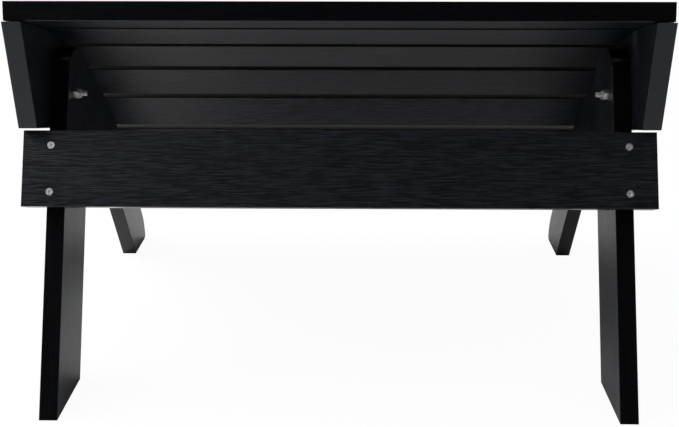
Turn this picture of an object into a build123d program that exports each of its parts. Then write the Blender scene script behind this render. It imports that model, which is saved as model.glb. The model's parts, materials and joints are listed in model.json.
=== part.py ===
from build123d import *
import os
from math import asin, cos, degrees, radians, sin, tan

os.makedirs("parts", exist_ok=True)

# A slatted outdoor table of plastic lumber. Two curved side rails carry the slats and
# stand on the floor at the low end. A leg frame, two legs joined by an apron, carries
# the high end and folds up under the slats on one bolt each side.
# X runs across, -Y points to the high end, Z is up. The origin is on the floor, midway.

# Driving dimensions, millimetres and degrees
board = 21.0  # thickness of every board
edge_round = 0.8  # eased edges of the boards
inner_half = 338.0  # middle plane to the inner face of a rail
half_depth = 241.0  # middle to the toe of a rail, and to the front of a leg's foot
outer_half = inner_half + board

# Slats
slat_count = 7
slat_width = 62.5
seat_gap = 0.05  # keeps the flat slats clear of the curved rails
first_slope = 17.3  # how far the slat at the high end tips down
slope_step = 9.5  # each slat on the bend tips this much more than the one before

# Side rails
rail_front = -122.0
rail_bottom = 306.6  # at the high end
top_centre = (-215.3, 1.6)  # of the bend along the top, in Y and Z
top_radius = 434.0
last_slope = 67.8  # of the straight run from the bend down to the heel
under_front_slope = 17.0
under_foot_slope = 68.0
under_radius = 315.0
foot_front = 179.0
heel_radius = 60.0
toe_radius = 8.0

# Leg frame, measured along a leg (up) and across it (back from its front edge)
lean = 27.2  # from the vertical
leg_width = 71.0
leg_round_height = 402.3  # up the leg to the middle of its round top
leg_gap = 0.4  # between a leg and its rail
pivot_up = 378.4
pivot_back = 18.7
apron_length = 717.0
apron_low = 240.3
apron_height = 87.0

# Wood screws with flat countersunk heads
screw_head_radius = 4.15
screw_shank_radius = 2.1
screw_length = 41.0
screw_point = 5.0
head_angle = 82.0
head_sink = 0.2  # heads sit this far under the surface
pilot_gap = 0.1  # between a screw and its hole
pilot_spare = 1.0  # of hole past a screw's point
slat_screw_spread = 36.0
apron_screw_spread = 53.0

# Pivot bolts with round heads
bolt_radius = 3.175
bolt_head_radius = 7.5
bolt_head_height = 3.6
bolt_rim = 0.8  # height of the head's straight edge
bolt_neck = 4.0  # depth of the square under the head
bolt_end = 6.5  # thread standing out of the nut
bolt_chamfer = 0.8  # at the end of the thread
running_gap = 0.07  # between a bolt and a leg's bore
bore_gap = 0.05  # between a bolt and a hole that doesn't turn on it

# Lock nuts: a hexagon, and a collar whose lip holds a nylon ring in its pocket
nut_across_flats = 11.1
nut_hex_height = 5.6
nut_collar_radius = 5.3
nut_collar_height = 2.7
nut_play = 0.1  # between a nut and its leg
ring_radius = 4.6
ring_height = 2.0
ring_gap = 0.05  # all round the ring in its pocket
lip_radius = 3.9  # of the lip's opening

# Where things lie across the table
leg_middle = inner_half - leg_gap - board / 2
nut_face = leg_middle - board / 2 - nut_play
nut_height = nut_hex_height + nut_collar_height
bolt_length = outer_half - nut_face + nut_height + bolt_end
rail_middle = inner_half + board / 2
hands = (("left", -1), ("right", 1))


def save(part, name):
    """Label a finished piece and write its STEP file."""
    part.label = name
    export_step(part, f"parts/{name}.step")


def top_place(along):
    """Y, Z and slope of the rail's top, a distance along it from the middle of slat 1.

    The top is an arc until its slope reaches last_slope, then a straight run.
    """
    on_arc = min(along, top_radius * radians(last_slope - first_slope))
    slope = first_slope + degrees(on_arc / top_radius)
    past_arc = along - on_arc
    y = top_centre[0] + top_radius * sin(radians(slope)) + past_arc * cos(radians(slope))
    z = top_centre[1] + top_radius * cos(radians(slope)) - past_arc * sin(radians(slope))
    return y, z, slope


# One plane for each slat's underside: x across the table, y down the slope, z out of the rail.
slat_spacing = top_radius * radians(slope_step)
slat_planes = []
for i in range(slat_count):
    y, z, slope = top_place(slat_spacing * i)
    outward = (0, sin(radians(slope)), cos(radians(slope)))
    slat_planes.append(Plane(origin=(0, y, z), x_dir=(1, 0, 0), z_dir=outward).offset(seat_gap))

# The rail's top starts at this slope at its plumb high end, and its bend ends here.
front_slope = degrees(asin((rail_front - top_centre[0]) / top_radius))
bend_end = top_place(top_radius * radians(last_slope - first_slope))[:2]
heel_height = bend_end[1] - (half_depth - bend_end[0]) * tan(radians(last_slope))

# The underside is two straight runs with a wide bend where they would cross.
front_run = (
    (foot_front - rail_front) * sin(radians(under_foot_slope))
    - rail_bottom * cos(radians(under_foot_slope))
) / sin(radians(under_foot_slope - under_front_slope))
elbow = (
    rail_front + front_run * cos(radians(under_front_slope)),
    rail_bottom - front_run * sin(radians(under_front_slope)),
)

# The leg plane: x back across a leg, y up along it, z to the right of the table.
foot_corner = (0, -half_depth, 0)
leg_plane = Plane(
    origin=foot_corner,
    x_dir=(0, cos(radians(lean)), -sin(radians(lean))),
    z_dir=(1, 0, 0),
)
pivot = leg_plane.from_local_coords(Vector(pivot_back, pivot_up, 0))

# The outer faces of the rails at the pivot: x to the back, z outwards.
pivot_planes = {}
for hand, side in hands:
    pivot_planes[hand] = Plane(
        origin=(side * outer_half, pivot.Y, pivot.Z), x_dir=(0, 1, 0), z_dir=(side, 0, 0)
    )

# The apron's outer face: x across the table, y down the face, z out towards the front.
apron_middle_up = apron_low + apron_height / 2
apron_face = Plane(
    origin=leg_plane.from_local_coords(Vector(-board, apron_middle_up, 0)),
    x_dir=(1, 0, 0),
    z_dir=(0, -cos(radians(lean)), sin(radians(lean))),
)

# Countersinks are opened up so that the sunk head clears them all round.
sink_radius = screw_head_radius + pilot_gap + head_sink * tan(radians(head_angle / 2))
head_depth = (screw_head_radius - screw_shank_radius) / tan(radians(head_angle / 2))
pilot_radius = screw_shank_radius + pilot_gap
pilot_depth = screw_length - board + head_sink + pilot_spare

# One screw, head up, its countersunk top face at the surface less the sink.
with BuildPart() as screw_shape:
    with BuildSketch(Plane.XZ):
        with BuildLine():
            Polyline(
                (0, -head_sink),
                (screw_head_radius, -head_sink),
                (screw_shank_radius, -head_sink - head_depth),
                (screw_shank_radius, screw_point - screw_length),
                (0, -screw_length),
                close=True,
            )
        make_face()
    revolve(axis=Axis.Z)

# One round-headed bolt with a square neck, its head's flat face at height zero.
with BuildPart() as bolt_shape:
    with BuildSketch(Plane.XZ):
        with BuildLine():
            Polyline(
                (0, bolt_head_height), (0, 0), (bolt_head_radius, 0), (bolt_head_radius, bolt_rim)
            )
            TangentArc((0, bolt_head_height), (bolt_head_radius, bolt_rim), tangent=(1, 0))
        make_face()
    revolve(axis=Axis.Z)
    with BuildSketch(Plane.XY):
        Rectangle(2 * bolt_radius, 2 * bolt_radius)
    extrude(amount=-bolt_neck)
    with BuildSketch(Plane.XY):
        Circle(bolt_radius)
    extrude(amount=-bolt_length)
    tip = bolt_shape.faces().sort_by(Axis.Z)[0]
    chamfer(tip.edges(), bolt_chamfer)

# Side rails
for hand, side in hands:
    with BuildPart() as rail:
        with BuildSketch(Plane.YZ.offset(side * rail_middle)):
            with BuildLine():
                top = CenterArc(top_centre, top_radius, 90 - front_slope, front_slope - last_slope)
                FilletPolyline(
                    bend_end,
                    (half_depth, heel_height),
                    (half_depth, 0),
                    (foot_front, 0),
                    radius=[heel_radius, toe_radius],
                )
                FilletPolyline(
                    (foot_front, 0), elbow, (rail_front, rail_bottom), radius=under_radius
                )
                Line((rail_front, rail_bottom), top @ 0)
            make_face()
        extrude(amount=board / 2, both=True)
        # The edges at the floor stay square.
        outline = rail.faces().filter_by(Axis.X).edges()
        fillet(outline.filter_by(lambda edge: edge.center().Z > edge_round), edge_round)
        for plane in slat_planes:
            with Locations(plane):
                with Locations((side * rail_middle, 0, 0)):
                    with GridLocations(1, slat_screw_spread, 1, 2):
                        Hole(pilot_radius, depth=pilot_depth)
        with Locations(pivot_planes[hand]):
            Hole(bolt_radius + bore_gap, depth=board)
        with BuildSketch(pivot_planes[hand]):
            Rectangle(2 * (bolt_radius + bore_gap), 2 * (bolt_radius + bore_gap))
        extrude(amount=-bolt_neck - bore_gap, mode=Mode.SUBTRACT)
    save(rail.part, f"rail_{hand}")

# Slats, numbered from the high end
for number, plane in enumerate(slat_planes, start=1):
    with BuildPart() as slat:
        with BuildSketch(plane):
            Rectangle(2 * outer_half, slat_width)
        extrude(amount=board)
        fillet(slat.edges().filter_by(Axis.X), edge_round)
        with Locations(plane.offset(board)):
            with GridLocations(2 * rail_middle, slat_screw_spread, 2, 2):
                CounterSinkHole(
                    pilot_radius, sink_radius, depth=board, counter_sink_angle=head_angle
                )
    save(slat.part, f"slat_{number}")

# Slat screws, two into each rail from each slat
for hand, side in hands:
    with BuildPart() as slat_screws:
        for plane in slat_planes:
            with Locations(plane.offset(board)):
                with Locations((side * rail_middle, 0, 0)):
                    with GridLocations(1, slat_screw_spread, 1, 2):
                        add(screw_shape.part)
    save(slat_screws.part, f"slat_screws_{hand}")

# Legs
for hand, side in hands:
    with BuildPart() as leg:
        with BuildSketch(leg_plane.offset(side * leg_middle)):
            with BuildLine():
                TangentArc((0, leg_round_height), (leg_width, leg_round_height), tangent=(0, 1))
                Polyline(
                    (leg_width, leg_round_height),
                    (leg_width, leg_width * tan(radians(lean))),
                    (0, 0),
                    (0, leg_round_height),
                )
            make_face()
        extrude(amount=board / 2, both=True)
        outline = leg.faces().filter_by(Axis.X).edges()
        fillet(outline.filter_by(lambda edge: edge.center().Z > edge_round), edge_round)
        with Locations(Plane(origin=(side * leg_middle, pivot.Y, pivot.Z), z_dir=(1, 0, 0))):
            Hole(bolt_radius + running_gap)
        with Locations(apron_face.offset(-board)):
            with Locations((side * leg_middle, 0, 0)):
                with GridLocations(1, apron_screw_spread, 1, 2):
                    Hole(pilot_radius, depth=pilot_depth)
    save(leg.part, f"leg_{hand}")

# Apron, screwed to the front edges of both legs
with BuildPart() as apron:
    with BuildSketch(apron_face):
        Rectangle(apron_length, apron_height)
    extrude(amount=-board)
    fillet(apron.edges().filter_by(Axis.X), edge_round)
    with Locations(apron_face):
        with GridLocations(2 * leg_middle, apron_screw_spread, 2, 2):
            CounterSinkHole(
                pilot_radius, sink_radius, depth=board, counter_sink_angle=head_angle
            )
save(apron.part, "apron")

# Apron screws, two into each leg
for hand, side in hands:
    with BuildPart() as apron_screws:
        with Locations(apron_face):
            with Locations((side * leg_middle, 0, 0)):
                with GridLocations(1, apron_screw_spread, 1, 2):
                    add(screw_shape.part)
    save(apron_screws.part, f"apron_screws_{hand}")

# Pivot hardware. A nut and its ring stand inwards from the nut's face.
for hand, side in hands:
    nut_plane = pivot_planes[hand].offset(nut_face - outer_half)
    collar_plane = nut_plane.offset(-nut_hex_height)

    with BuildPart() as pivot_bolt:
        with Locations(pivot_planes[hand]):
            add(bolt_shape.part)
    save(pivot_bolt.part, f"pivot_bolt_{hand}")

    with BuildPart() as lock_nut:
        with BuildSketch(nut_plane):
            RegularPolygon(nut_across_flats / 2, side_count=6, major_radius=False)
            Circle(bolt_radius + bore_gap, mode=Mode.SUBTRACT)
        extrude(amount=-nut_hex_height)
        with BuildSketch(collar_plane):
            Circle(nut_collar_radius)
            Circle(lip_radius, mode=Mode.SUBTRACT)
        extrude(amount=-nut_collar_height)
        with BuildSketch(collar_plane):
            Circle(ring_radius + ring_gap)
        extrude(amount=-ring_height - 2 * ring_gap, mode=Mode.SUBTRACT)
    save(lock_nut.part, f"lock_nut_{hand}")

    with BuildPart() as nut_ring:
        with BuildSketch(collar_plane.offset(-ring_gap)):
            Circle(ring_radius)
            Circle(bolt_radius + bore_gap, mode=Mode.SUBTRACT)
        extrude(amount=-ring_height)
    save(nut_ring.part, f"nut_ring_{hand}")
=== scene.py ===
# %% [markdown]
# # A folding slatted table in black plastic lumber
#
# This lesson finishes a low outdoor table. Its boards, holes and hinge line come ready
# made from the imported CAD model. Here they get their light and their finish, and the
# plain pins that stand for screws, bolts and nuts are replaced with real ones. All sizes
# are in metres: +X runs across the table, -Y points to its high end and +Z is up.

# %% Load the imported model
import json

import bpy
import numpy as np
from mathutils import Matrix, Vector


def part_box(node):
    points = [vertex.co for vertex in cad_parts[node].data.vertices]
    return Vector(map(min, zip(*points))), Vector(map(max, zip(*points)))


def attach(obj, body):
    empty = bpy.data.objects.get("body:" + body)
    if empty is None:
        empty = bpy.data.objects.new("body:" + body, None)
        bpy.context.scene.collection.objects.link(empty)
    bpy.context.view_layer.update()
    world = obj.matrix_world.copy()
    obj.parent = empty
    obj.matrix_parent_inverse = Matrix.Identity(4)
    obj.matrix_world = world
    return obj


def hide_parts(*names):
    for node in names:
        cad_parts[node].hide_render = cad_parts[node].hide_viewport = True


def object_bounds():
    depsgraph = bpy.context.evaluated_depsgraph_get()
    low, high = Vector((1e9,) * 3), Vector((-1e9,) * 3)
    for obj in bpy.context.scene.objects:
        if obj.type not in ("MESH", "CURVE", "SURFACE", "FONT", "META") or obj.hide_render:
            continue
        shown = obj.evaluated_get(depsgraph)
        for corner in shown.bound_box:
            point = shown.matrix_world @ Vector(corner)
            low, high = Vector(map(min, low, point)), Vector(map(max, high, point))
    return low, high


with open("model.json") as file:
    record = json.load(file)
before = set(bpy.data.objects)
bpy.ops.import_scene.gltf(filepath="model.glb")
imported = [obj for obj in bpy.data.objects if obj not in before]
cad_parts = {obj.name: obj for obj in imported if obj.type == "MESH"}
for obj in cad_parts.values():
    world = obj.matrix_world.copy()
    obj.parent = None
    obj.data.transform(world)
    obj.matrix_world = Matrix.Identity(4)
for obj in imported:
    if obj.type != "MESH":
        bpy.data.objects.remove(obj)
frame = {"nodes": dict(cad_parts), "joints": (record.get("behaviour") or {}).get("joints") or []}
nodes = frame["nodes"]
hinge = frame["joints"][0]
cad_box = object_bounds()
print("CAD nodes:", len(nodes), "hinge at", hinge["pos_m"])

# %% [markdown]
# ## The camera
#
# The table is seen from its high end, from a little above its top. A lens that only
# looks down would push the table high in the frame, so a small shift brings it back, as
# an architect's camera does. The lens is close to a normal one and stands about a metre
# off, so the near feet look larger than the far ones, as they do to a person that close.

# %% Set the camera
eye = Vector((0.0263, -0.9744, 0.579))
look_down, look_left = np.radians(22.37), np.radians(0.61)
SENSOR_WIDTH, LENS = 36.0, 42.4  # in millimetres, as lenses are sold
camera_data = bpy.data.cameras.new("camera")
camera_data.sensor_width = SENSOR_WIDTH
camera_data.sensor_fit = "HORIZONTAL"
camera_data.lens = LENS
camera_data.shift_x, camera_data.shift_y = -0.0217, -0.0280
camera = bpy.data.objects.new("camera", camera_data)
camera.location = eye
camera.rotation_euler = (np.pi / 2 - look_down, 0, look_left)
bpy.context.scene.collection.objects.link(camera)
bpy.context.scene.camera = camera
print("camera at", tuple(round(v, 3) for v in eye))

# %% [markdown]
# ## A helper for shader trees
#
# Every finish below is a small tree of nodes. Adding a node, setting it and feeding it
# are three steps that repeat, so one helper does all three. A feed is either a plain
# value or the output of another node.

# %% Node helpers


def feed(tree, socket, value):
    """Links an output to a socket, or sets the socket to a plain value."""
    if isinstance(value, bpy.types.NodeSocket):
        tree.links.new(value, socket)
    else:
        socket.default_value = value


def add_node(tree, kind, feeds=None, **options):
    """Adds a node, sets its options, and feeds its inputs by name or by number."""
    node = tree.nodes.new(kind)
    for option, value in options.items():
        setattr(node, option, value)
    for socket, value in (feeds or {}).items():
        feed(tree, node.inputs[socket], value)
    return node


def arithmetic(tree, operation, *values):
    """The output of one Math node on its values, in their order."""
    return add_node(tree, "ShaderNodeMath", dict(enumerate(values)), operation=operation).outputs[0]


def soft_step(tree, value, start, full):
    """0 up to start, 1 from full on, and smooth between."""
    node = add_node(
        tree,
        "ShaderNodeMapRange",
        {"Value": value, "From Min": start, "From Max": full},
        interpolation_type="SMOOTHSTEP",
    )
    return node.outputs["Result"]


def between(tree, amount, low, high):
    """A colour between two colours, by an amount from 0 to 1."""
    node = add_node(tree, "ShaderNodeMix", {0: amount, 6: low, 7: high}, data_type="RGBA")
    return node.outputs[2]


# %% [markdown]
# ## Floor, air and light
#
# The room is plain and white. Black plastic shows almost nothing of its own colour: what
# the eye reads is the white floor mirrored in it, more strongly as a face turns edge-on.
# So the floor is lit by a soft lamp high on the left and by a pale room behind and above
# the table, and the air in front is left dark. The slats' undersides then glow softly,
# and the faces towards the viewer stay black. The lamp stands well to the side because
# one straight above shines back from the front edges of the lower slats, and draws a
# bright line in each gap. A small fill from the front left picks out the screw heads.

# %% Floor and surroundings
WHITE = (1, 1, 1, 1)
FLOOR_HALF_SIDE = 9.0
SHADOW_SHARE = 0.05
FRONT_GLOW, BACK_GLOW = 0.02, 0.95
GLOW_START, GLOW_FULL = -0.8, 0.1  # how far back a direction points, from -1 in front to 1
KEY_PLACE, KEY_SIZE, KEY_WATTS = (-2.1, 0.5, 2.0), 1.6, 85
FILL_PLACE, FILL_SIZE, FILL_WATTS = (-1.1, -0.75, 1.9), 0.9, 9


def plain_floor(half_side, shadow_share):
    """A square white floor at height zero, on which the viewer sees only a faint shadow."""
    corners = half_side * np.array([(-1, -1, 0), (1, -1, 0), (1, 1, 0), (-1, 1, 0)], float)
    mesh = bpy.data.meshes.new("floor")
    mesh.from_pydata(corners.tolist(), [], [(0, 1, 2, 3)])
    finish = bpy.data.materials.new("white floor")
    finish.use_nodes = True
    tree = finish.node_tree
    tree.nodes.clear()
    paint = add_node(tree, "ShaderNodeBsdfDiffuse", {"Color": (0.85, 0.85, 0.85, 1)})
    glow = add_node(tree, "ShaderNodeEmission", {"Color": WHITE, "Strength": 1.0})
    path = add_node(tree, "ShaderNodeLightPath")
    lifted = arithmetic(tree, "MULTIPLY", path.outputs["Is Camera Ray"], 1 - shadow_share)
    either = add_node(
        tree, "ShaderNodeMixShader", {0: lifted, 1: paint.outputs[0], 2: glow.outputs[0]}
    )
    add_node(tree, "ShaderNodeOutputMaterial", {"Surface": either.outputs[0]})
    mesh.materials.append(finish)
    floor = bpy.data.objects.new("floor", mesh)
    bpy.context.scene.collection.objects.link(floor)


def white_room(front_glow, back_glow):
    """White all round to the viewer, but as light it fades from the back to the front."""
    world = bpy.data.worlds.new("white room")
    world.use_nodes = True
    tree = world.node_tree
    tree.nodes.clear()
    ways = add_node(tree, "ShaderNodeTexCoord")
    parts = add_node(tree, "ShaderNodeSeparateXYZ", {0: ways.outputs["Generated"]})
    behind = soft_step(tree, parts.outputs["Y"], GLOW_START, GLOW_FULL)
    strength = arithmetic(tree, "MULTIPLY_ADD", behind, back_glow - front_glow, front_glow)
    light = add_node(tree, "ShaderNodeBackground", {"Color": WHITE, "Strength": strength})
    seen = add_node(tree, "ShaderNodeBackground", {"Color": WHITE, "Strength": 1.0})
    path = add_node(tree, "ShaderNodeLightPath")
    camera_ray = path.outputs["Is Camera Ray"]
    either = add_node(
        tree, "ShaderNodeMixShader", {0: camera_ray, 1: light.outputs[0], 2: seen.outputs[0]}
    )
    add_node(tree, "ShaderNodeOutputWorld", {"Surface": either.outputs[0]})
    bpy.context.scene.world = world


def soft_lamp(name, place, aim, size, watts):
    """A square area lamp at a place, turned to face a point."""
    data = bpy.data.lights.new(name, "AREA")
    data.size = size
    data.energy = watts
    lamp = bpy.data.objects.new(name, data)
    lamp.location = place
    lamp.rotation_euler = (Vector(aim) - Vector(place)).to_track_quat("-Z", "Y").to_euler()
    bpy.context.scene.collection.objects.link(lamp)


table_middle = (cad_box[0] + cad_box[1]) / 2
plain_floor(FLOOR_HALF_SIDE, SHADOW_SHARE)
white_room(FRONT_GLOW, BACK_GLOW)
soft_lamp("high left", KEY_PLACE, table_middle, KEY_SIZE, KEY_WATTS)
soft_lamp("fill", FILL_PLACE, table_middle, FILL_SIZE, FILL_WATTS)
bpy.context.scene.view_settings.view_transform = "Standard"
print("table middle", tuple(round(v, 3) for v in table_middle))

# %% [markdown]
# ## Plastic lumber
#
# The boards are extruded from black polyethylene. A roller presses a wood grain into
# their two wide faces: fine ridges that run the length of the board, with longer, softer
# waves between them. A router then rounds the long edges and leaves them smooth. Every
# face that is neither a wide face nor a sawn end has its colour painted darker than the
# plastic itself: this is painted shade for the dark room that these smooth faces mirror.
# A saw leaves the cut ends dull and a little grey. One function makes the finish for any
# board. It is told which way the board runs, which way its wide face looks and which way
# its sawn end looks, and a seed slides the pattern along so that no two boards match. The
# pattern is worked out in the board's own space, so it stays put when the legs fold.

# %% Grain and board finish
# The first colour below is painted shade. It is darker than the plastic's own black, and it goes on
# edges and narrow faces because they mirror the dark room in front.
ROUTED_PAINTED_SHADE = (0.0010, 0.0012, 0.0018, 1)
VALLEY = (0.0022, 0.0027, 0.0042, 1)
RIDGE = (0.0130, 0.0155, 0.0215, 1)
SAWN = (0.0115, 0.0142, 0.0185, 1)
EMBOSS_DEPTH = 0.00016
WAVES, RIDGES, FIBRES = (10, 150, 2), (38, 780, 3), (120, 2400, 2)  # along, across, detail
RIDGE_START, RIDGE_FULL = 0.44, 0.66  # the part of the ridge noise that stands up
EDGE_ROUGHNESS, WIDE_FACE_EXTRA, WAVE_EXTRA, SAWN_EXTRA = 0.22, 0.12, 0.10, 0.20
LUMBER_SPECULAR = 0.32


def stretched_noise(tree, along_board, per_metre_along, per_metre_across, detail):
    """Noise drawn out along a board: few changes a metre along it, many across it."""
    stretch = (per_metre_along, per_metre_across, per_metre_across)
    scaled = add_node(
        tree, "ShaderNodeVectorMath", {0: along_board, 1: stretch}, operation="MULTIPLY"
    )
    noise = add_node(
        tree,
        "ShaderNodeTexNoise",
        {"Vector": scaled.outputs[0], "Scale": 1.0, "Detail": detail, "Roughness": 0.6},
    )
    return noise.outputs["Fac"]


def looks_along(tree, direction, start, full):
    """1 where a face looks along a direction or back along it, and 0 where it looks aside."""
    ways = add_node(tree, "ShaderNodeTexCoord")
    dot = add_node(
        tree,
        "ShaderNodeVectorMath",
        {0: ways.outputs["Normal"], 1: tuple(direction)},
        operation="DOT_PRODUCT",
    )
    return soft_step(tree, arithmetic(tree, "ABSOLUTE", dot.outputs["Value"]), start, full)


def lumber_finish(name, runs, wide_face, sawn_end, seed):
    """Black plastic lumber: grain along one way, on wide faces only, and dull sawn ends."""
    finish = bpy.data.materials.new(name)
    finish.use_nodes = True
    tree = finish.node_tree
    shader = tree.nodes["Principled BSDF"]
    turn = Vector(runs).rotation_difference(Vector((1, 0, 0))).to_euler()
    ways = add_node(tree, "ShaderNodeTexCoord")
    along = add_node(
        tree,
        "ShaderNodeMapping",
        {"Vector": ways.outputs["Object"], "Rotation": tuple(turn),
         "Location": (1.7 * seed, 0.31 * seed, 0.13 * seed)},
    ).outputs["Vector"]

    # The grain wanders a millimetre or two to either side as it runs.
    sway = arithmetic(tree, "SUBTRACT", stretched_noise(tree, along, 9, 20, 1), 0.5)
    swing = add_node(
        tree, "ShaderNodeVectorMath", {0: (0, 0.003, 0.003), "Scale": sway}, operation="SCALE"
    )
    swayed = add_node(
        tree, "ShaderNodeVectorMath", {0: along, 1: swing.outputs[0]}, operation="ADD"
    ).outputs[0]
    waves = stretched_noise(tree, swayed, *WAVES)
    ridges = stretched_noise(tree, swayed, *RIDGES)
    fibres = stretched_noise(tree, swayed, *FIBRES)
    raised = soft_step(tree, ridges, RIDGE_START, RIDGE_FULL)
    rolled = arithmetic(tree, "MULTIPLY_ADD", waves, 0.8, arithmetic(tree, "MULTIPLY", fibres, 0.3))
    height = arithmetic(tree, "MULTIPLY_ADD", raised, 0.55, rolled)

    wide = looks_along(tree, wide_face, 0.80, 0.985)
    sawn = looks_along(tree, sawn_end, 0.90, 0.99)
    depth = arithmetic(tree, "MULTIPLY_ADD", wide, 0.9, 0.1)
    bump = add_node(
        tree,
        "ShaderNodeBump",
        {"Height": arithmetic(tree, "MULTIPLY", height, depth), "Distance": EMBOSS_DEPTH},
    )
    grain = between(tree, raised, VALLEY, RIDGE)
    # Faces that are neither wide nor sawn get the routed colour. That colour is painted shade, darker
    # than the plastic itself, and stands for the dark room those faces mirror.
    colour = between(tree, sawn, between(tree, wide, ROUTED_PAINTED_SHADE, grain), SAWN)
    worn = arithmetic(tree, "MULTIPLY_ADD", wide, WIDE_FACE_EXTRA, EDGE_ROUGHNESS)
    uneven = arithmetic(tree, "MULTIPLY_ADD", waves, WAVE_EXTRA, worn)
    rough = arithmetic(tree, "MULTIPLY_ADD", sawn, SAWN_EXTRA, uneven)
    feed(tree, shader.inputs["Base Color"], colour)
    feed(tree, shader.inputs["Roughness"], rough)
    feed(tree, shader.inputs["Normal"], bump.outputs["Normal"])
    shader.inputs["Specular IOR Level"].default_value = LUMBER_SPECULAR
    return finish


# %% [markdown]
# ## Which way each board runs
#
# Slats and apron run across the table, so their grain follows X. The legs lean, and
# their grain leans with them. A rail is cut as one curved piece out of a wide straight
# plank, so its grain keeps the plank's direction, from its high end down to its foot.
# The directions are read off the boards themselves.

# %% Finish every board
ACROSS, BACK = Vector((1, 0, 0)), Vector((0, 1, 0))


def middle_of(node):
    """The middle of a node's box."""
    low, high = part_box(node)
    return (low + high) / 2


def widest_face(node):
    """The way a node's largest flat face looks."""
    mesh = nodes[node].data
    areas, ways = np.empty(len(mesh.polygons)), np.empty(len(mesh.polygons) * 3)
    mesh.polygons.foreach_get("area", areas)
    mesh.polygons.foreach_get("normal", ways)
    return Vector(ways.reshape(-1, 3)[areas.argmax()]).normalized()


def repaint(node, finish):
    """Gives a CAD node one finish in place of its plain one."""
    slots = nodes[node].data.materials
    slots.clear()
    slots.append(finish)


slats = sorted(name for name in nodes if name.startswith("slat_") and "screws" not in name)
for seed, name in enumerate(slats, start=1):
    repaint(name, lumber_finish(f"lumber {name}", ACROSS, widest_face(name), ACROSS, seed))

apron_looks = widest_face("apron")
if apron_looks.y > 0:
    apron_looks.negate()
leg_runs = ACROSS.cross(apron_looks).normalized()
repaint("apron", lumber_finish("lumber apron", ACROSS, apron_looks, ACROSS, 41))
rail_low, rail_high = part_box("rail_left")
rail_runs = Vector((0, rail_high.y - rail_low.y, rail_low.z - rail_high.z)).normalized()
for seed, hand in enumerate(("left", "right"), start=21):
    repaint(f"leg_{hand}", lumber_finish(f"lumber leg {hand}", leg_runs, ACROSS, leg_runs, seed))
    repaint(
        f"rail_{hand}", lumber_finish(f"lumber rail {hand}", rail_runs, ACROSS, BACK, seed + 10)
    )
print("boards finished:", len(slats) + 5, "legs run", tuple(round(v, 2) for v in leg_runs))

# %% [markdown]
# ## A surface from a grid
#
# Screws, bolts and nuts are all turned parts: a profile goes round an axis, and wherever
# a part isn't round, its radius also changes with the angle. So each is a grid of points,
# one row for each step along the profile and one column for each step round the axis.
# The helper joins neighbours into quads. It closes the first and last rows with a point
# each, or joins the last row back to the first where the profile is a loop.

# %% Grid helper
AROUND = 72
TURNS = np.linspace(0, 2 * np.pi, AROUND, endpoint=False)


def place_grid(grid, origin, axis, up):
    """Moves points from a part's own frame, with z along its axis, to a place in the model."""
    axis, up = np.array(axis, float), np.array(up, float)
    side = np.cross(up, axis)
    return np.array(origin, float) + grid @ np.stack([side, up, axis])


def turned_grid(radius, height):
    """Points from a radius for each row and column, and a height for each row or both."""
    radius = radius * np.ones(AROUND)
    height = np.broadcast_to(height, radius.shape)
    return np.stack([radius * np.cos(TURNS), radius * np.sin(TURNS), height], axis=-1)


def grid_faces(rows, first, looped):
    """Quads between each row and the next, and triangles to a pole at each open end."""
    index = first + np.arange(rows * AROUND).reshape(rows, AROUND)
    after = np.roll(index, -1, axis=1)
    if looped:
        below, below_after = np.roll(index, -1, axis=0), np.roll(after, -1, axis=0)
        quads = np.stack([index, after, below_after, below], axis=-1).reshape(-1, 4)
        return quads.tolist()
    quads = np.stack([index[:-1], after[:-1], after[1:], index[1:]], axis=-1).reshape(-1, 4)
    pole = first + rows * AROUND
    start = np.stack([np.full(AROUND, pole), after[0], index[0]], axis=-1)
    end = np.stack([np.full(AROUND, pole + 1), index[-1], after[-1]], axis=-1)
    return quads.tolist() + start.tolist() + end.tolist()


def surface_piece(name, grids, looped, finish, body, stands_for):
    """Makes one closed piece of one or more grids, and says what it rides on and replaces."""
    points, faces, count = [], [], 0
    for grid in grids:
        rows = grid.shape[0]
        flat = grid.reshape(-1, 3)
        faces += grid_faces(rows, count, looped)
        if not looped:
            flat = np.vstack([flat, grid[0].mean(axis=0), grid[-1].mean(axis=0)])
        points.append(flat)
        count += len(flat)
    mesh = bpy.data.meshes.new(name)
    mesh.from_pydata(np.vstack(points).tolist(), [], faces)
    mesh.polygons.foreach_set("use_smooth", np.ones(len(mesh.polygons), bool))
    mesh.set_sharp_from_angle(angle=np.radians(32))
    mesh.materials.append(finish)
    piece = bpy.data.objects.new(name, mesh)
    bpy.context.scene.collection.objects.link(piece)
    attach(piece, body)
    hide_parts(*stands_for)
    return piece


# %% [markdown]
# ## Stainless steel and nylon
#
# The fasteners are stainless steel. Turned heads carry fine rings from the lathe, and
# handling leaves them a little patchy, so one noise changes their roughness and another,
# much finer, gives them a light bump. The ring in a lock nut is plain, slightly cloudy
# nylon.

# %% Metal and nylon finishes


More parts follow.
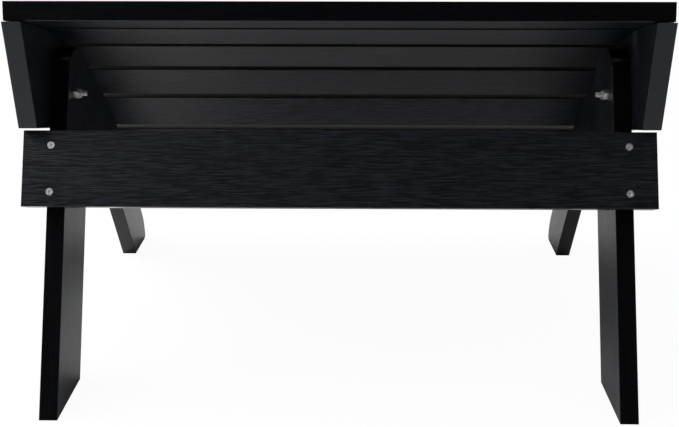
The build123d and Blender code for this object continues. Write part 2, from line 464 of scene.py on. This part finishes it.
def steel_finish(name, tone, low_rough, high_rough):
    """Stainless steel whose roughness drifts between two values, with a fine bump."""
    finish = bpy.data.materials.new(name)
    finish.use_nodes = True
    tree = finish.node_tree
    shader = tree.nodes["Principled BSDF"]
    ways = add_node(tree, "ShaderNodeTexCoord")
    place = ways.outputs["Object"]
    patches = add_node(tree, "ShaderNodeTexNoise", {"Vector": place, "Scale": 420.0, "Detail": 3.0})
    tooling = add_node(tree, "ShaderNodeTexNoise", {"Vector": place, "Scale": 2600.0, "Detail": 2.0})
    spread = arithmetic(tree, "MULTIPLY", patches.outputs["Fac"], high_rough - low_rough)
    feed(tree, shader.inputs["Roughness"], arithmetic(tree, "ADD", spread, low_rough))
    dull = tuple(0.72 * part for part in tone) + (1,)
    shade = soft_step(tree, patches.outputs["Fac"], 0.35, 0.65)
    feed(tree, shader.inputs["Base Color"], between(tree, shade, dull, tone + (1,)))
    bump = add_node(
        tree, "ShaderNodeBump", {"Height": tooling.outputs["Fac"], "Distance": 0.00004}
    )
    feed(tree, shader.inputs["Normal"], bump.outputs["Normal"])
    shader.inputs["Metallic"].default_value = 1.0
    return finish


def nylon_finish(name):
    """White nylon, faintly clouded."""
    finish = bpy.data.materials.new(name)
    finish.use_nodes = True
    tree = finish.node_tree
    shader = tree.nodes["Principled BSDF"]
    ways = add_node(tree, "ShaderNodeTexCoord")
    cloud = add_node(
        tree, "ShaderNodeTexNoise", {"Vector": ways.outputs["Object"], "Scale": 900.0}
    ).outputs["Fac"]
    milky = between(tree, cloud, (0.42, 0.42, 0.40, 1), (0.60, 0.60, 0.57, 1))
    feed(tree, shader.inputs["Base Color"], milky)
    feed(tree, shader.inputs["Roughness"], arithmetic(tree, "MULTIPLY_ADD", cloud, 0.2, 0.35))
    return finish


bright_steel = steel_finish("bright steel", (0.90, 0.90, 0.91), 0.30, 0.55)
satin_steel = steel_finish("satin steel", (0.74, 0.74, 0.75), 0.22, 0.42)
for hand in ("left", "right"):
    repaint(f"nut_ring_{hand}", nylon_finish(f"nylon ring {hand}"))
print("metal finishes:", bright_steel.name, "and", satin_steel.name)

# %% [markdown]
# ## Wood screws with flat heads
#
# Each screw has a flat head that sits just under the board's surface, a cone below it, a
# shank with a coarse thread, and a point. The driver's cross is pressed into the head.
# The cross is only a dip in the flat face: the height of each point of the head is
# lowered where the point is near one of two crossed bars.

# %% Wood screws
SCREW_HEAD, SCREW_SHANK, SCREW_LENGTH = 0.00415, 0.0021, 0.041
HEAD_CONE, SCREW_POINT, HEAD_SINK = 0.00236, 0.005, 0.0002
RECESS_DEPTH, BAR_HALF_WIDTH, BAR_REACH = 0.0015, 0.0006, 0.0024
SCREW_PITCH, THREAD_CREST = 0.0018, 0.00045


def screw_grid(turn):
    """Rows cross the head from its middle, go down its cone, then along a threaded shank.

    A head point dips by the recess depth where the smaller of its distances from the two
    bars' lines is under half a bar's width, fading with its distance from the middle. The
    shank's radius rises by a crest wherever height over pitch, plus turns, is a whole number.
    """
    head_radius = np.linspace(0.06, 1, 26)[:, None] * SCREW_HEAD
    turned = TURNS + turn
    nearest = head_radius * np.minimum(np.abs(np.cos(turned)), np.abs(np.sin(turned)))
    in_bar = np.clip((1.35 * BAR_HALF_WIDTH - nearest) / (0.7 * BAR_HALF_WIDTH), 0, 1)
    in_reach = np.clip((BAR_REACH - head_radius) / (0.35 * BAR_REACH), 0, 1)
    head = turned_grid(head_radius * np.ones(AROUND), -RECESS_DEPTH * in_bar * in_reach)
    rim = turned_grid(np.array([[1.0], [0.995]]) * SCREW_HEAD, np.array([[-0.00006], [-0.0002]]))

    depth = np.linspace(HEAD_CONE, SCREW_LENGTH - HEAD_SINK, 260)[:, None]
    left = SCREW_LENGTH - HEAD_SINK - depth
    core = (SCREW_SHANK - THREAD_CREST) * np.clip(left / SCREW_POINT, 0.02, 1)
    phase = (depth / SCREW_PITCH + TURNS / (2 * np.pi)) % 1
    crest = np.clip(1 - np.abs(phase - 0.5) * 5, 0, 1) * np.clip(left / SCREW_POINT, 0, 1)
    started = np.clip((depth - HEAD_CONE) / SCREW_PITCH, 0, 1)
    shank = turned_grid(core + THREAD_CREST * np.maximum(crest, 1 - started), -depth)
    return np.concatenate([head, rim, shank])


def screw_places(board, carrier, looks, spread):
    """Two heads on the outer face of a board, over the middle of the piece it is fixed to."""
    middle, slope = middle_of(board), ACROSS.cross(looks)
    middle.x = middle_of(carrier).x
    face = middle + looks * (BOARD / 2 - HEAD_SINK)
    return [face + slope * (spread / 2), face - slope * (spread / 2)]


def screws(name, fixings, body, stands_for):
    """One piece of all the screws that hold boards to one carrier, each turned differently."""
    grids = []
    for board, carrier, looks, spread in fixings:
        for place in screw_places(board, carrier, looks, spread):
            turn = 2.4 * len(grids) + 0.5
            grids.append(place_grid(screw_grid(turn), place, looks, ACROSS))
    piece = surface_piece(name, grids, False, bright_steel, body, stands_for)
    print(name, "screws:", len(grids), "faces:", len(piece.data.polygons))


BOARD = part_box("rail_left")[1].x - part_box("rail_left")[0].x
SLAT_SPREAD, APRON_SPREAD = 0.036, 0.053
outward = {name: widest_face(name) for name in slats}
for way in outward.values():
    if way.z < 0:
        way.negate()
for hand in ("left", "right"):
    rail, leg = f"rail_{hand}", f"leg_{hand}"
    fixings = [(name, rail, outward[name], SLAT_SPREAD) for name in slats]
    screws(f"slat_wood_screws_{hand}", fixings, "table", [f"slat_screws_{hand}"])
    fixings = [("apron", leg, apron_looks, APRON_SPREAD)]
    screws(f"apron_wood_screws_{hand}", fixings, "leg_frame", [f"apron_screws_{hand}"])

# %% [markdown]
# ## Pivot bolts
#
# A carriage bolt goes through each rail and leg from outside. Its head is a shallow dome,
# a square neck under it bites into the rail so that it can't turn, and the thread stands
# out of the nut on the inside. The whole bolt is one grid: dome rows, neck rows whose
# radius follows a square, and thread rows whose radius is a ramp that climbs as it turns.

# %% Pivot bolts
BOLT_RADIUS, BOLT_HEAD, BOLT_DOME, BOLT_RIM = 0.003175, 0.0075, 0.0036, 0.0008
BOLT_NECK, BOLT_PITCH, BOLT_CHAMFER, THREAD_DEPTH = 0.004, 0.00127, 0.0008, 0.0006
THREADED = 0.022


def bolt_grid(length):
    """Rows over the dome, under the head, along the square neck, the shank and the thread.

    The square's radius at an angle is half its side over the larger of the angle's cosine
    and sine. A thread's radius drops by its depth times a wave of height over pitch plus
    turns, so its ridge climbs one pitch in a full turn.
    """
    over = np.linspace(0.04, 1, 16)[:, None]
    drop = 1 - np.sqrt(1 - 0.86 * over**2)
    dome_height = BOLT_RIM + (BOLT_DOME - BOLT_RIM) * (1 - drop / drop[-1])
    dome = turned_grid(BOLT_HEAD * over, dome_height)
    under = turned_grid(BOLT_HEAD * np.array([[1.0], [0.96]]), np.array([[0.0003], [0.0]]))
    square = BOLT_RADIUS / np.maximum(np.abs(np.cos(TURNS)), np.abs(np.sin(TURNS)))
    neck_rows = np.array([[0.0001], [BOLT_NECK - 0.0006]])
    neck = turned_grid(square * np.ones((2, 1)), -neck_rows)
    smooth_rows = np.array([[BOLT_NECK], [length - THREADED]])
    smooth = turned_grid(BOLT_RADIUS * np.ones((2, 1)), -smooth_rows)

    depth = np.arange(length - THREADED, length, BOLT_PITCH / 10)[1:, None]
    wave = 0.5 - 0.5 * np.cos(2 * np.pi * depth / BOLT_PITCH + TURNS)
    narrowed = np.minimum(BOLT_RADIUS - THREAD_DEPTH * wave, BOLT_RADIUS - BOLT_CHAMFER + length - depth)
    thread = turned_grid(narrowed, -depth)
    tip = turned_grid((BOLT_RADIUS - BOLT_CHAMFER) * np.array([[1.0], [0.3]]), -length)
    return np.concatenate([dome, under, neck, smooth, thread, tip])


PIVOT = Vector(hinge["pos_m"])


def outward_axis(hand):
    """The pivot's axis, pointing out of the table on one hand."""
    return ACROSS if hand == "right" else -ACROSS


def outermost(node, hand):
    """How far out of the table a node reaches, on its own hand, and how far in."""
    low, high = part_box(node)
    return (high.x, low.x) if hand == "right" else (-low.x, -high.x)


for hand in ("left", "right"):
    outer_end, inner_end = outermost(f"pivot_bolt_{hand}", hand)
    head_face = outer_end - BOLT_DOME
    axis = outward_axis(hand)
    start = Vector((axis.x * head_face, PIVOT.y, PIVOT.z))
    grid = place_grid(bolt_grid(head_face - inner_end), start, axis, BACK)
    bolt = surface_piece(
        f"carriage_bolt_{hand}", [grid], False, satin_steel, "table", [f"pivot_bolt_{hand}"]
    )
    print(bolt.name, "length", round(head_face - inner_end, 4), "faces", len(bolt.data.polygons))

# %% [markdown]
# ## Lock nuts
#
# A lock nut is a hexagon with its corners turned off, then a round collar whose lip folds
# in over a nylon ring. Its section is a loop, from the face on the leg, up the flats, over
# the collar and back down the bore, so its grid joins end to end. A point's radius on the
# flats is the smaller of the hexagon's and the chamfer's.

# %% Lock nuts
NUT_FLATS, NUT_HEX, NUT_COLLAR, NUT_LIP = 0.0111, 0.0056, 0.0053, 0.0039
NUT_CHAMFER, LIP_ROUND, RING_POCKET = 0.30, 0.0008, 0.00465
BORE_CLEARANCE = 0.00005


def nut_grid(height):
    """Rows up the flats, round the collar's lip, down the ring's pocket and the bore.

    The hexagon's radius at an angle is half its width over the cosine of the angle's
    distance from the nearest flat's middle. The chamfer's radius grows with distance from
    the hexagon's end faces.
    """
    from_flat = (TURNS + np.pi / 6) % (np.pi / 3) - np.pi / 6
    hexagon = NUT_FLATS / 2 / np.cos(from_flat)
    up = np.array([0.0, 0.00015, 0.0006, 0.0012, 0.0044, 0.0050, 0.00545, 0.0056])[:, None]
    to_end = np.minimum(up, NUT_HEX - up)
    turned_off = NUT_FLATS / 2 * 0.985 + to_end / NUT_CHAMFER
    flats = turned_grid(np.minimum(hexagon, turned_off), up)

    bend = np.radians(np.linspace(0, 90, 7))[:, None]
    lip_start = height - LIP_ROUND
    collar_radius = np.vstack([[[NUT_COLLAR]], NUT_COLLAR - LIP_ROUND * (1 - np.cos(bend))])
    collar_height = np.vstack([[[NUT_HEX + 0.0001]], lip_start + LIP_ROUND * np.sin(bend)])
    collar = turned_grid(collar_radius, collar_height)
    pocket_top, pocket_floor = height - 0.0006, NUT_HEX
    bore = BOLT_RADIUS + BORE_CLEARANCE
    inner = np.array([
        (NUT_LIP + 0.0001, height), (NUT_LIP, height - 0.0001), (NUT_LIP, pocket_top),
        (RING_POCKET, pocket_top), (RING_POCKET, pocket_floor), (bore + 0.0002, pocket_floor),
        (bore, pocket_floor - 0.0002), (bore, 0.0003), (bore + 0.0003, 0.0),
    ])
    inside = turned_grid(inner[:, :1], inner[:, 1:])
    return np.concatenate([flats, collar, inside])


for hand in ("left", "right"):
    outer_end, inner_end = outermost(f"lock_nut_{hand}", hand)
    inward = -outward_axis(hand)
    start = Vector((-inward.x * outer_end, PIVOT.y, PIVOT.z))
    grid = place_grid(nut_grid(outer_end - inner_end), start, inward, Vector((0, 0, 1)))
    nut = surface_piece(
        f"hex_lock_nut_{hand}", [grid], True, satin_steel, "table", [f"lock_nut_{hand}"]
    )
    print(nut.name, "height", round(outer_end - inner_end, 4), "faces", len(nut.data.polygons))
